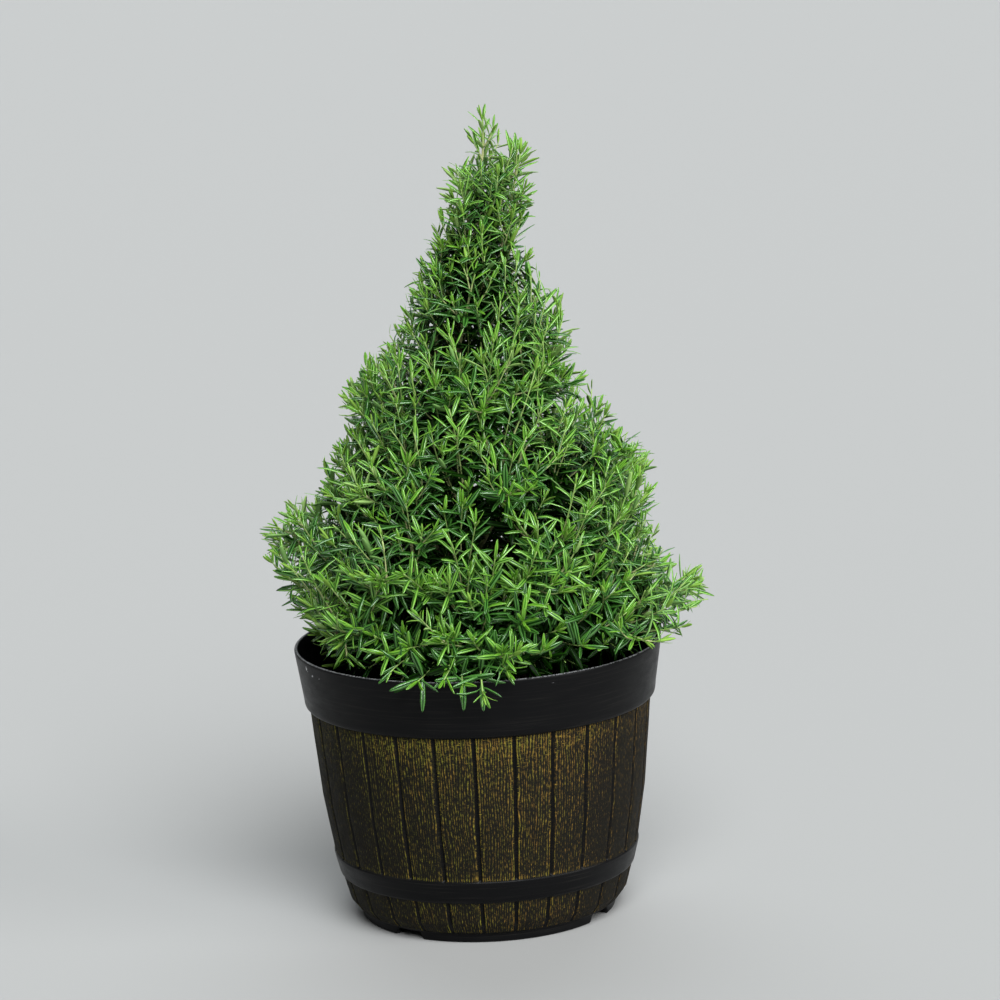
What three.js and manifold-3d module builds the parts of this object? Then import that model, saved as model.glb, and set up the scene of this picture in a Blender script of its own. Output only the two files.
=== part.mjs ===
// Rosemary trained as a small leaning cone, standing in its nursery pot inside a round planter
// moulded as a barrel of staves. Millimetres, +Z up, the front towards -Y and the right to +X.
// The origin is the centre of the planter's flat underside.
import * as THREE from "three";
import { mergeVertices } from "three/addons/utils/BufferGeometryUtils.js";
import Module from "manifold-3d";

// Clearance between neighbouring solids
const GAP = 0.3;

// Planter: one plastic moulding with a collar, stave panels, a hoop and a foot ring
const PLANTER_HEIGHT = 234;
const RIM_RADIUS = 155;
const COLLAR_FOOT_RADIUS = 148;
const COLLAR_HEIGHT = 50;
const FOOT_RADIUS = 108;
const FOOT_HEIGHT = 8;
const HOOP_BOTTOM = 39;
const HOOP_TOP = 58;
const HOOP_RELIEF = 1.2;
const WALL = 3;
const FLOOR_THICKNESS = 10;
const STAVES = 27;
const STAVE_TURN = -2.5;
const GROOVE_WIDTH = 2;
const GROOVE_DEPTH = 1.5;
const ARCH_WIDTH = 30;
const ARCH_HEIGHT = 6.5;
const ARCH_INNER_RADIUS = 46;
const ARCH_AZIMUTHS = [-38.8, 59.7, 141.2, 239.7];
// Radius of the stave panels at a few heights, from the foot ring to the collar
const PANEL = [[10, 112], [18, 118.5], [40, 124.5], [58, 129], [106, 137], [184, 144.4]];

// Nursery pot and its compost, a little left of the planter's centre
const NURSERY_X = -6;
const NURSERY_RIM_RADIUS = 92;
const NURSERY_FOOT_RADIUS = 74;
const NURSERY_WALL = 1.6;
const NURSERY_TOP = 206;
const LIP_HEIGHT = 12;
const LIP_OVERHANG = 3;
const COMPOST_TOP = 198;
const COMPOST_DISH = 3;
const COMPOST_FLAT_RADIUS = 40;
const POT_SEGMENTS = 24;

// Main stem, from its flat cut on the compost to where the leader's foliage begins
const TRUNK_RADIUS = 6.2;
const TRUNK_TIP_RADIUS = 1.8;
const FLARE = 4;
const FLARE_HEIGHT = 9;
const TRUNK_BASE = new THREE.Vector3(NURSERY_X, 0, COMPOST_TOP + GAP);
const TRUNK_TIP = new THREE.Vector3(18, 0, 612);
const TRUNK_BENDS = [new THREE.Vector3(NURSERY_X, 0, 360), new THREE.Vector3(-17, -3, 530)];

// Boughs, twigs and leaves
const BOUGH_RADIUS = 3.4;
const BOUGH_TIP_RADIUS = 2.4;
const STEM_RADIUS = 2.6;
const STEM_TIP_RADIUS = 1.4;
const CORE_WIDTH = 16;
const CORE_BELLY = 0.4;
const CORE_SINK = 1.5;
const TIP_SHOOT = 46;
const LEAF_LENGTH = 44;
const SHORT_LEAF = 32;
const LEAF_WIDTH = 12;
const LEAF_THICKNESS = 2.2;
const LEAF_BELLY = 0.36;
const LEAF_APART = 6;
const LEAF_SEED = 500;
const PAIR_SPACING = 50;
const PAIR_PLACE = 0.4;
const GOLDEN_ANGLE = 137.5;

// Tiers of foliage from the rim of the pot upward. Every bough leaves the trunk at "root", a
// share of the trunk's length, and carries its mass from "start" to "tip", each a distance from
// the crown's axis and a height. "lift" is how far the stem arches above the straight line, and
// "strays" are the shoots that the crown's outline shows further out, by their place in the tier.
const TIERS = [
  {
    name: "skirt", count: 7, turn: 0, root: [0.015, 0.07], start: [44, 227], tip: [172, 250],
    lift: 30, shoots: 5, shootLength: 52,
    strays: { 0: [182, 219, 78], 2: [211, 267, 16], 5: [179, 268, 20] },
  },
  {
    name: "lower", count: 6, turn: 30, root: [0.08, 0.14], start: [42, 266], tip: [172, 322],
    lift: 14, shoots: 5, shootLength: 54, strays: { 1: [191, 303, 22], 4: [188, 332, 18] },
  },
  {
    name: "middle", count: 6, turn: 20, root: [0.18, 0.25], start: [36, 322], tip: [140, 402],
    lift: 8, shoots: 5, shootLength: 52, strays: { 1: [162, 412, 10] },
  },
  {
    name: "upper", count: 4, turn: 10, root: [0.32, 0.39], start: [26, 396], tip: [106, 482],
    lift: 4, shoots: 5, shootLength: 48, strays: { 3: [116, 458, 10] },
  },
  {
    name: "spire", count: 4, turn: 0, root: [0.42, 0.54], start: [18, 482], tip: [52, 575],
    lift: 2, shoots: 4, shootLength: 40, strays: { 1: [46, 650, -6], 3: [46, 641, -8] },
  },
];
const LEADER = { tip: new THREE.Vector3(23, 0, 684), shoots: 2, shootLength: 34 };
const CROWN_AXIS_X = 4;
const CROWN_LEAN = 0.08;
const CROWN_LEAN_FROM = 400;
// Radius of the crown at a few heights, which leaves and twigs stay within
const CROWN = [
  [205, 178], [285, 192], [330, 182], [410, 156], [480, 118], [550, 82], [600, 60], [690, 48],
];
const SPACE_MARGIN = 1.2;
const LIMB_MARGIN = 1.5;

const FINISH = {
  planter: { color: 0x2b2a24, roughness: 0.5, metalness: 0 },
  nursery: { color: 0x121212, roughness: 0.6, metalness: 0 },
  compost: { color: 0x3a2618, roughness: 0.95, metalness: 0 },
  bark: { color: 0x6a5136, roughness: 0.85, metalness: 0 },
  foliage: { color: 0x4f7d33, roughness: 0.55, metalness: 0 },
};

const Z_AXIS = new THREE.Vector3(0, 0, 1);
const X_AXIS = new THREE.Vector3(1, 0, 0);
// A direction that no stem follows, which turns every shoot's core about its own line
const SKEW = new THREE.Vector3(0.36, 0.48, 0.8);
const wasm = await Module();
wasm.setup();

// Closed geometry as a solid that can be joined and cut
function solidOf(geometry) {
  const bare = geometry.clone();
  bare.deleteAttribute("normal");
  bare.deleteAttribute("uv");
  const merged = mergeVertices(bare, 1e-4);
  return new wasm.Manifold(new wasm.Mesh({
    numProp: 3,
    vertProperties: new Float32Array(merged.attributes.position.array),
    triVerts: new Uint32Array(merged.index.array),
  }));
}

function geometryOf(solid) {
  const mesh = solid.getMesh();
  const geometry = new THREE.BufferGeometry();
  geometry.setAttribute("position", new THREE.BufferAttribute(mesh.vertProperties, 3));
  geometry.setIndex(new THREE.BufferAttribute(mesh.triVerts, 1));
  geometry.computeVertexNormals();
  return geometry;
}

// The largest piece of a join, without loose scraps or sealed hollows
function onePiece(solid) {
  const pieces = solid.decompose();
  return pieces.reduce((best, piece) => (piece.volume() > best.volume() ? piece : best));
}

// Direction seen from above: 0 is the front, and angles grow towards the right
function outward(azimuth) {
  const angle = THREE.MathUtils.degToRad(azimuth);
  return new THREE.Vector3(Math.sin(angle), -Math.cos(angle), 0);
}

function between(table, height) {
  const last = table[table.length - 1];
  const upper = table.find(([z]) => z >= height) ?? last;
  const lower = table[Math.max(table.indexOf(upper) - 1, 0)];
  const share = upper === lower ? 0 : (height - lower[0]) / (upper[0] - lower[0]);
  return THREE.MathUtils.lerp(lower[1], upper[1], THREE.MathUtils.clamp(share, 0, 1));
}

// Body of revolution about the vertical axis from a profile of [radius, height] points
function turned(profile, segments) {
  const points = profile.map(([radius, height]) => new THREE.Vector2(radius, height));
  return new THREE.LatheGeometry(points, segments).rotateX(Math.PI / 2);
}

// The planter's outside. Four columns a stave: two edges of a groove, its bottom and the middle
// of the stave, and the groove's bottom is drawn in over the height of the panels.
function planterOutside() {
  const groovedPanels = [
    [PANEL[0], PANEL[1], [HOOP_BOTTOM - 1, between(PANEL, HOOP_BOTTOM - 1)]],
    [[HOOP_TOP + 1, between(PANEL, HOOP_TOP + 1)], PANEL[4], PANEL[5]],
  ];
  const collarFoot = PLANTER_HEIGHT - COLLAR_HEIGHT;
  const [low, high] = groovedPanels.map((panel) => panel.map(([z, radius]) => [radius, z]));
  const profile = [
    [0, 0],
    [FOOT_RADIUS - 1, 0],
    [FOOT_RADIUS, FOOT_HEIGHT],
    ...low,
    [between(PANEL, HOOP_BOTTOM) + HOOP_RELIEF, HOOP_BOTTOM + 0.5],
    [between(PANEL, HOOP_TOP) + HOOP_RELIEF, HOOP_TOP - 0.5],
    ...high,
    [COLLAR_FOOT_RADIUS + 1, collarFoot + 3],
    [RIM_RADIUS, PLANTER_HEIGHT - 2],
    [RIM_RADIUS - 1, PLANTER_HEIGHT],
    [0, PLANTER_HEIGHT],
  ];
  const columns = 4 * STAVES;
  const geometry = turned(profile, columns);
  const position = geometry.attributes.position;
  const grooved = new Set([...low, ...high].map(([radius]) => radius.toFixed(3)));
  for (let i = 0; i < position.count; i += 1) {
    const column = Math.floor(i / profile.length);
    const [radius, height] = profile[i % profile.length];
    const stave = Math.floor(column / 4);
    const part = column % 4;
    const halfGroove = THREE.MathUtils.radToDeg(GROOVE_WIDTH / 2 / Math.max(radius, FOOT_RADIUS));
    const shift = [-halfGroove, 0, halfGroove, 180 / STAVES][part];
    const depth = part === 1 && grooved.has(radius.toFixed(3)) ? GROOVE_DEPTH : 0;
    const place = outward(STAVE_TURN + (stave * 360) / STAVES + shift).multiplyScalar(radius - depth);
    position.setXYZ(i, place.x, place.y, height);
  }
  return geometry;
}

// Planter: the stave barrel, hollowed, with four drainage arches cut in from the foot ring
function planter() {
  const inside = turned([
    [0, FLOOR_THICKNESS],
    [between(PANEL, FLOOR_THICKNESS) - WALL - 2, FLOOR_THICKNESS],
    [between(PANEL, 106) - WALL, 106],
    [between(PANEL, 184) - WALL, 184],
    [RIM_RADIUS - WALL - 1, PLANTER_HEIGHT + 1],
    [0, PLANTER_HEIGHT + 1],
  ], 2 * STAVES).rotateZ(THREE.MathUtils.degToRad(STAVE_TURN));
  let solid = solidOf(planterOutside()).subtract(solidOf(inside));
  const arch = new THREE.Shape();
  arch.moveTo(-ARCH_WIDTH / 2, -1);
  arch.lineTo(ARCH_WIDTH / 2, -1);
  arch.lineTo(ARCH_WIDTH / 2 - 3, ARCH_HEIGHT);
  arch.lineTo(3 - ARCH_WIDTH / 2, ARCH_HEIGHT);
  const depth = RIM_RADIUS - ARCH_INNER_RADIUS;
  for (const azimuth of ARCH_AZIMUTHS) {
    const channel = new THREE.ExtrudeGeometry(arch, { depth, bevelEnabled: false });
    channel.rotateX(Math.PI / 2);
    channel.translate(0, -ARCH_INNER_RADIUS, 0);
    channel.rotateZ(THREE.MathUtils.degToRad(azimuth));
    solid = solid.subtract(solidOf(channel));
  }
  return geometryOf(solid);
}

// Thin-walled pot with a turned-out lip, standing on the planter's floor
function nurseryPot() {
  const foot = FLOOR_THICKNESS + GAP;
  const lipFoot = NURSERY_TOP - LIP_HEIGHT;
  const wallTop = NURSERY_RIM_RADIUS - LIP_OVERHANG;
  return turned([
    [0, foot],
    [NURSERY_FOOT_RADIUS, foot],
    [wallTop, lipFoot],
    [NURSERY_RIM_RADIUS, lipFoot],
    [NURSERY_RIM_RADIUS, NURSERY_TOP],
    [NURSERY_RIM_RADIUS - NURSERY_WALL, NURSERY_TOP],
    [wallTop - NURSERY_WALL, lipFoot],
    [NURSERY_FOOT_RADIUS - NURSERY_WALL, foot + NURSERY_WALL],
    [0, foot + NURSERY_WALL],
  ], POT_SEGMENTS);
}

// Compost up to a little below the pot's lip, dished towards the wall and flat round the trunk
function compost() {
  const foot = FLOOR_THICKNESS + 2 * GAP + NURSERY_WALL;
  const clear = NURSERY_WALL + 2 * GAP;
  const edge = COMPOST_TOP - COMPOST_DISH;
  const lipFoot = NURSERY_TOP - LIP_HEIGHT;
  return turned([
    [0, foot],
    [NURSERY_FOOT_RADIUS - clear - 0.4, foot],
    [NURSERY_RIM_RADIUS - LIP_OVERHANG - clear, lipFoot - 1],
    [NURSERY_RIM_RADIUS - LIP_OVERHANG - clear, edge],
    [COMPOST_FLAT_RADIUS, COMPOST_TOP],
    [0, COMPOST_TOP],
  ], POT_SEGMENTS);
}

// Round limb along a curve: a cylinder whose rings are set across the curve, each at its radius
function limb(path, radiusAt, sides, steps, spacing = (share) => share) {
  const geometry = new THREE.CylinderGeometry(1, 1, 1, sides, steps);
  const chord = path.getPoint(1).sub(path.getPoint(0)).normalize();
  const reference = Math.abs(chord.z) > 0.9 ? X_AXIS : Z_AXIS;
  const side = new THREE.Vector3().crossVectors(chord, reference).normalize();
  const position = geometry.attributes.position;
  for (let i = 0; i < position.count; i += 1) {
    const share = spacing(THREE.MathUtils.clamp(position.getY(i) + 0.5, 0, 1));
    const tangent = path.getTangent(share);
    const across = side.clone().addScaledVector(tangent, -side.dot(tangent)).normalize();
    const over = new THREE.Vector3().crossVectors(across, tangent);
    const radius = radiusAt(share);
    const point = path.getPoint(share);
    point.addScaledVector(across, position.getX(i) * radius);
    point.addScaledVector(over, position.getZ(i) * radius);
    position.setXYZ(i, point.x, point.y, point.z);
  }
  return geometry;
}

// Trunk: tapering main stem with a root flare, widened by "extra" where it serves as a cutter
const trunkPath = new THREE.CubicBezierCurve3(TRUNK_BASE, ...TRUNK_BENDS, TRUNK_TIP);
const trunkLength = trunkPath.getLength();
function trunk(extra = 0) {
  const radiusAt = (share) => (
    THREE.MathUtils.lerp(TRUNK_RADIUS, TRUNK_TIP_RADIUS, share)
    + FLARE * Math.exp((-share * trunkLength) / FLARE_HEIGHT) + extra
  );
  return limb(trunkPath, radiusAt, 10, 16, (share) => share ** 1.6);
}

// Places of the masses: the stem's curve from the bough's tip to the furthest leaf
function crownAxis(height) {
  const lean = CROWN_LEAN * Math.max(height - CROWN_LEAN_FROM, 0);
  return new THREE.Vector3(CROWN_AXIS_X + lean, 0, height);
}

function trunkAt(height) {
  const points = trunkPath.getPoints(60);
  return points.reduce((best, point) => (
    Math.abs(point.z - height) < Math.abs(best.z - height) ? point : best
  ));
}

function placeMasses() {
  const masses = [];
  for (const tier of TIERS) {
    for (let i = 0; i < tier.count; i += 1) {
      const azimuth = tier.turn + (i * 360) / tier.count;
      const [radius, height, lift] = tier.strays[i] ?? [...tier.tip, tier.lift];
      const start = trunkAt(tier.start[1]).addScaledVector(outward(azimuth), tier.start[0]);
      const tip = crownAxis(height).addScaledVector(outward(azimuth), radius);
      const bend = start.clone().lerp(tip, 0.55).addScaledVector(Z_AXIS, lift);
      const step = ((i * 3) % tier.count) / tier.count;
      masses.push({
        name: `${tier.name}_${i + 1}`,
        reach: radius,
        path: new THREE.QuadraticBezierCurve3(start, bend, tip),
        root: THREE.MathUtils.lerp(...tier.root, step),
        shoots: tier.shoots,
        shootLength: tier.shootLength,
      });
    }
  }
  const start = trunkPath.getPoint(1).addScaledVector(trunkPath.getTangent(1), GAP);
  const bend = start.clone().lerp(LEADER.tip, 0.5).addScaledVector(X_AXIS, 4);
  const path = new THREE.QuadraticBezierCurve3(start, bend, LEADER.tip);
  masses.push({ name: "leader", path, reach: 0, ...LEADER });
  for (const mass of masses) {
    mass.end = 1 - TIP_SHOOT / mass.path.getLength();
  }
  return masses;
}

// Bough from inside the trunk to just short of its mass's stem
function boughPath(mass) {
  const from = trunkPath.getPoint(mass.root);
  const heading = mass.path.getTangent(0);
  const to = mass.path.getPoint(0).addScaledVector(heading, -GAP);
  const leaving = from.clone().lerp(to, 0.5);
  leaving.z = THREE.MathUtils.lerp(from.z, to.z, 0.3);
  const arriving = to.clone().addScaledVector(heading, -0.25 * from.distanceTo(to));
  return new THREE.CubicBezierCurve3(from, leaving, arriving, to);
}

function bough(mass, trunkCutter) {
  const thick = THREE.MathUtils.lerp(BOUGH_RADIUS, BOUGH_TIP_RADIUS, mass.root);
  const radiusAt = (share) => THREE.MathUtils.lerp(thick, BOUGH_TIP_RADIUS, share);
  const solid = solidOf(limb(mass.bough, radiusAt, 4, 3)).subtract(trunkCutter);
  return geometryOf(onePiece(solid));
}

// Shortest distance from a point to a curve, taken along straight pieces of it
const nearest = new THREE.Vector3();
function distanceTo(line, point) {
  let best = Infinity;
  for (const piece of line) {
    piece.closestPointToPoint(point, true, nearest);
    best = Math.min(best, nearest.distanceTo(point));
  }
  return best;
}

function piecesOf(path, count) {
  const points = path.getPoints(count);
  return points.slice(1).map((point, i) => new THREE.Line3(points[i], point));
}

// A mass's own space: nearer to its stem than to any other, clear of every limb and of the pots
function keepsToSpace(point, mass, masses, limbs, margin) {
  const own = distanceTo(mass.line, point);
  if (masses.some((other) => other !== mass && distanceTo(other.line, point) < own + 2 * margin)) {
    return false;
  }
  if (limbs.some((line) => distanceTo(line.pieces, point) < line.radius + LIMB_MARGIN + margin)) {
    return false;
  }
  const fromAxis = point.clone().sub(crownAxis(point.z)).length();
  const crown = between(CROWN, point.z);
  if (fromAxis > Math.max(crown, mass.reach + 1) || (fromAxis > crown && own > LEAF_LENGTH / 2)) {
    return false;
  }
  const fromPot = Math.hypot(point.x, point.y);
  const overRim = point.z > PLANTER_HEIGHT + 3 + margin;
  const pastRim = fromPot > RIM_RADIUS + 3 + margin;
  const inMouth = point.z > NURSERY_TOP + 3 + margin && fromPot < RIM_RADIUS - 10 - margin;
  return point.z < LEADER.tip.z + 0.5 && (overRim || pastRim || inMouth);
}

// Repeatable random numbers from 0 to 1
function seeded(seed) {
  let state = seed;
  return () => {
    state = (Math.imul(state, 1664525) + 1013904223) >>> 0;
    return state / 2 ** 32;
  };
}

// Blade of eight faces from its root to its tip: a flat one is a leaf, and a square one is the
// slim core that the needles of a shoot close up into
const octahedron = new THREE.OctahedronGeometry(1);
function blade(frame, length, width, thickness, belly) {
  const geometry = octahedron.clone();
  const position = geometry.attributes.position;
  for (let i = 0; i < position.count; i += 1) {
    const along = [0, belly, 1][Math.round(position.getZ(i)) + 1] * length;
    position.setXYZ(i, (position.getX(i) * width) / 2, (position.getY(i) * thickness) / 2, along);
  }
  return geometry.applyMatrix4(frame);
}

function bladeFrame(root, heading, tangent) {
  const across = new THREE.Vector3().crossVectors(tangent, heading).normalize();
  const over = new THREE.Vector3().crossVectors(heading, across);
  return new THREE.Matrix4().makeBasis(across, over, heading).setPosition(root);
}

function bladeFits(frame, length, profile, fits) {
  return profile.every(([along, half, margin]) => [-half, half].every((side) => (
    fits(new THREE.Vector3(side, 0, along * length).applyMatrix4(frame), margin)
  )));
}

// Shoots of a mass: one at the stem's end, and others that fan out round the stem
function shootsOf(mass, fits, random) {
  const end = mass.path.getPoint(mass.end);
  const tip = mass.path.getPoint(1);
  const shoots = [{ root: end, heading: tip.clone().sub(end).normalize(), length: tip.distanceTo(end) }];
  for (let i = 0; i < mass.shoots; i += 1) {
    const share = mass.end * THREE.MathUtils.lerp(0.22, 1, i / mass.shoots);
    const root = mass.path.getPoint(share);
    const tangent = mass.path.getTangent(share);
    const side = new THREE.Vector3().crossVectors(tangent, Z_AXIS).normalize();
    const turn = THREE.MathUtils.degToRad(i * GOLDEN_ANGLE + 40 * (random() - 0.5));
    const spoke = side.applyAxisAngle(tangent, turn);
    const heading = tangent.clone().multiplyScalar(0.6).addScaledVector(spoke, 0.8);
    heading.addScaledVector(Z_AXIS, 0.2).normalize();
    const full = mass.shootLength * (0.85 + 0.3 * random());
    const frame = bladeFrame(root, heading, tangent);
    const profile = [0.4, 0.6, 0.8, 1].map((along) => [
      along, 0, SPACE_MARGIN + (CORE_WIDTH / 2) * Math.min((1 - along) / (1 - CORE_BELLY), 1),
    ]);
    const length = [1, 0.8, 0.6].map((size) => size * full)
      .find((size) => bladeFits(frame, size, profile, fits));
    if (length) {
      shoots.push({ root, heading, length });
    }
  }
  return shoots;
}

// Frames of the leaves: pairs along the stem and the shoots, each a quarter turn from the last
function leafFrames(mass, shoots, random) {
  const frames = [];
  const addPair = (centre, tangent, turn) => {
    const reference = Math.abs(tangent.z) > 0.9 ? X_AXIS : Z_AXIS;
    const side = new THREE.Vector3().crossVectors(tangent, reference).normalize();
    for (const half of [0, Math.PI]) {
      const spoke = side.clone().applyAxisAngle(tangent, turn + half + 0.4 * (random() - 0.5));
      const heading = tangent.clone().multiplyScalar(0.62).addScaledVector(spoke, 0.78).normalize();
      frames.push(bladeFrame(centre.clone().addScaledVector(heading, -0.3), heading, tangent));
    }
  };
  const pairs = Math.round((mass.path.getLength() * mass.end) / PAIR_SPACING);
  for (let pair = 0; pair < pairs; pair += 1) {
    const share = (mass.end * (pair + 0.8)) / pairs;
    addPair(mass.path.getPoint(share), mass.path.getTangent(share), (pair * Math.PI) / 2);
  }
  for (const { root, heading, length } of shoots) {
    addPair(root.clone().addScaledVector(heading, PAIR_PLACE * length), heading, random() * Math.PI);
  }
  return frames;
}

// Stem of a mass: the three-sided twig from its bough's tip to its last shoot
class Stem extends THREE.Curve {
  constructor(mass) {
    super();
    this.mass = mass;
  }

  getPoint(share) {
    return this.mass.path.getPoint(share * this.mass.end);
  }
}

// One mass of foliage: stem, shoots, and every leaf that keeps to its space, joined into one
function foliage(mass, masses, limbs, seed) {
  const fits = (point, margin) => keepsToSpace(point, mass, masses, limbs, margin);
  const stemRadius = (share) => THREE.MathUtils.lerp(STEM_RADIUS, STEM_TIP_RADIUS, share);
  let solid = solidOf(limb(new Stem(mass), stemRadius, 3, 4));
  const shoots = shootsOf(mass, fits, seeded(seed));
  for (const { root, heading, length } of shoots) {
    const frame = bladeFrame(root.clone().addScaledVector(heading, -CORE_SINK), heading, SKEW);
    solid = solid.add(solidOf(blade(frame, length + CORE_SINK, CORE_WIDTH, CORE_WIDTH, CORE_BELLY)));
  }
  const placed = [];
  const clear = (point, margin) => distanceTo(placed, point) > LEAF_APART && fits(point, margin);
  const profile = [[LEAF_BELLY, LEAF_WIDTH / 2], [0.7, 0], [0.85, 0], [1, 0]]
    .map(([along, half]) => [along, half, SPACE_MARGIN]);
  for (const frame of leafFrames(mass, shoots, seeded(seed + LEAF_SEED))) {
    const length = [LEAF_LENGTH, SHORT_LEAF].find((size) => bladeFits(frame, size, profile, clear));
    if (length) {
      const ends = [0.4, 1].map((share) => new THREE.Vector3(0, 0, share * length).applyMatrix4(frame));
      placed.push(new THREE.Line3(...ends));
      solid = solid.add(solidOf(blade(frame, length, LEAF_WIDTH, LEAF_THICKNESS, LEAF_BELLY)));
    }
  }
  return geometryOf(onePiece(solid));
}

// The whole plant, from the pots up to the leader
const group = new THREE.Group();
function addPiece(name, geometry, finish, x = 0) {
  const piece = new THREE.Mesh(geometry, new THREE.MeshStandardMaterial(FINISH[finish]));
  piece.name = name;
  piece.position.x = x;
  group.add(piece);
}

addPiece("planter", planter(), "planter");
addPiece("nursery_pot", nurseryPot(), "nursery", NURSERY_X);
addPiece("compost", compost(), "compost", NURSERY_X);
addPiece("trunk", trunk(), "bark");

const masses = placeMasses();
const trunkCutter = solidOf(trunk(GAP));
const limbs = [{ pieces: piecesOf(trunkPath, 30), radius: TRUNK_RADIUS }];
for (const mass of masses) {
  mass.line = piecesOf(mass.path, 8);
  if (mass.root !== undefined) {
    mass.bough = boughPath(mass);
    limbs.push({ pieces: piecesOf(mass.bough, 8), radius: BOUGH_RADIUS });
    addPiece(`bough_${mass.name}`, bough(mass, trunkCutter), "bark");
  }
}
for (const [index, mass] of masses.entries()) {
  addPiece(`foliage_${mass.name}`, foliage(mass, masses, limbs, 101 + index), "foliage");
}

export default group;
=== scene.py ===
import math
from types import SimpleNamespace

import bpy
import numpy as np
from mathutils import Matrix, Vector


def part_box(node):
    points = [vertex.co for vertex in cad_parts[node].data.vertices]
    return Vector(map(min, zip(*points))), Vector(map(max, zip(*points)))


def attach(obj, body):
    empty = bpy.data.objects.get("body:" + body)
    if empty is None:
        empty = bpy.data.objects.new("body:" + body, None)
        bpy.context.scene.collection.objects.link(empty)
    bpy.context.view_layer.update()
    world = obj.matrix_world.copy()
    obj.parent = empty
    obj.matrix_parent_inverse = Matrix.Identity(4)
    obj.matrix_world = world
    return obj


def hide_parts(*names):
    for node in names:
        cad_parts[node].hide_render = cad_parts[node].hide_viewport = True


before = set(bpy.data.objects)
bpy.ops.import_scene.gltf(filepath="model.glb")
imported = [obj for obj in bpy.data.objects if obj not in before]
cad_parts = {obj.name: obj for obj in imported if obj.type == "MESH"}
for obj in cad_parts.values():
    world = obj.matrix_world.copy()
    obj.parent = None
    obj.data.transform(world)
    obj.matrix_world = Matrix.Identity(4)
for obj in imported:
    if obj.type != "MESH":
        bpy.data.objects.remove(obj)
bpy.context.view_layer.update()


# Camera: stands where the photograph was taken from, 3.3 m in front of the planter and 1 m above
# the paving. A long lens looks down a little, and is turned so that the right side stands higher.
CAMERA_PLACE = (0.024, -3.293, 1.003)
CAMERA_LENS = 144
LOOKS_DOWN = math.radians(11.18)
CAMERA_ROLL = math.radians(-2.49)


def add_object(name, data):
    """Object of the data, linked to the scene."""
    made = bpy.data.objects.new(name, data)
    bpy.context.scene.collection.objects.link(made)
    return made


camera = add_object("camera", bpy.data.cameras.new("camera"))
camera.data.lens = CAMERA_LENS
camera.matrix_world = (
    Matrix.Translation(CAMERA_PLACE)
    @ Matrix.Rotation(math.pi / 2 - LOOKS_DOWN, 4, "X")
    @ Matrix.Rotation(CAMERA_ROLL, 4, "Z")
)
bpy.context.scene.camera = camera


# Planter: one moulding of black plastic, a barrel of 27 staves under a plain collar, with a raised
# hoop and a foot ring. Gold paint was rubbed over the grained staves and wiped off again, so it
# stays on the raised grain, along the staves' edges and most of all under the collar.
MM = 0.001
planter_low, planter_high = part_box("planter")
RIM_RADIUS = (planter_high.x - planter_low.x) / 2 / MM
PLANTER_HEIGHT = planter_high.z / MM
COLLAR_FOOT = 184
STAVES = 27
STAVE_TURN = math.radians(-2.5)
STAVE_PITCH = 2 * math.pi / STAVES
STAVE_COLUMNS = 20
STAVE_RADIUS = 137
GROOVE_HALF = 1.45
GROOVE_DEPTH = 1.5
GRAIN_DEPTH = 0.16
GRAIN_PITCH = 0.0021
NEXT_STAVE = 7.3
HOOP_BOTTOM = 39
HOOP_TOP = 58
FLOOR_TOP = 10
WALL = 3
PANEL_FOOT = 9.6
PANEL_HEIGHTS = [PANEL_FOOT, 18, 40, 58, 106, COLLAR_FOOT]
PANEL_RADII = [112, 118.5, 124.5, 129, 137, 144.4]
ARCHES = np.radians([-38.8, 59.7, 141.2, 239.7])
ARCH_HALF = 15
ARCH_HEIGHT = 6.5
ARCH_START = 46
FOOT_HEIGHT = 7.5
BLACK = (0.003, 0.003, 0.0033, 1)
SCRATCHED_BLACK = (0.013, 0.012, 0.011, 1)
WASHED_BLACK = (0.0075, 0.0066, 0.0045, 1)
YELLOW_GOLD = (0.27, 0.25, 0.028, 1)
ORANGE_GOLD = (0.4, 0.225, 0.04, 1)
# Grey of the nicks and of the speckled lip, where it is partly wear and partly a painted highlight along
# the edge; the next number is the lip's share of it
SCUFF_AND_HIGHLIGHT_GREY = (0.6, 0.6, 0.62, 1)
LIP_WEAR_AND_HIGHLIGHT = 0.4
# Azimuth, height, half width, half height and force of the knocks that nicked the collar
KNOCKS = [
    (-1.18, 228, 1.5, 2.4, 1), (-1.165, 225.5, 1.4, 1.4, 0.6), (-1.11, 224, 1.3, 1.9, 0.8),
    (-1.03, 224, 4.4, 1.6, 0.5), (0.4, 228, 7, 1.2, 0.52),
]


def mesh_of(name, points, *face_sets):
    """Smooth mesh of points in millimetres. Each face set is an array with one face a row, and the
    faces' corners are laid end to end."""
    mesh = bpy.data.meshes.new(name)
    corners = np.concatenate([faces.ravel() for faces in face_sets])
    sizes = np.concatenate([np.full(len(faces), faces.shape[1]) for faces in face_sets])
    mesh.vertices.add(len(points))
    mesh.vertices.foreach_set("co", (points * MM).astype(np.float32).ravel())
    mesh.loops.add(len(corners))
    mesh.loops.foreach_set("vertex_index", corners.astype(np.int32))
    mesh.polygons.add(len(sizes))
    mesh.polygons.foreach_set("loop_start", (np.cumsum(sizes) - sizes).astype(np.int32))
    mesh.update(calc_edges=True)
    mesh.shade_smooth()
    return mesh


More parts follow.
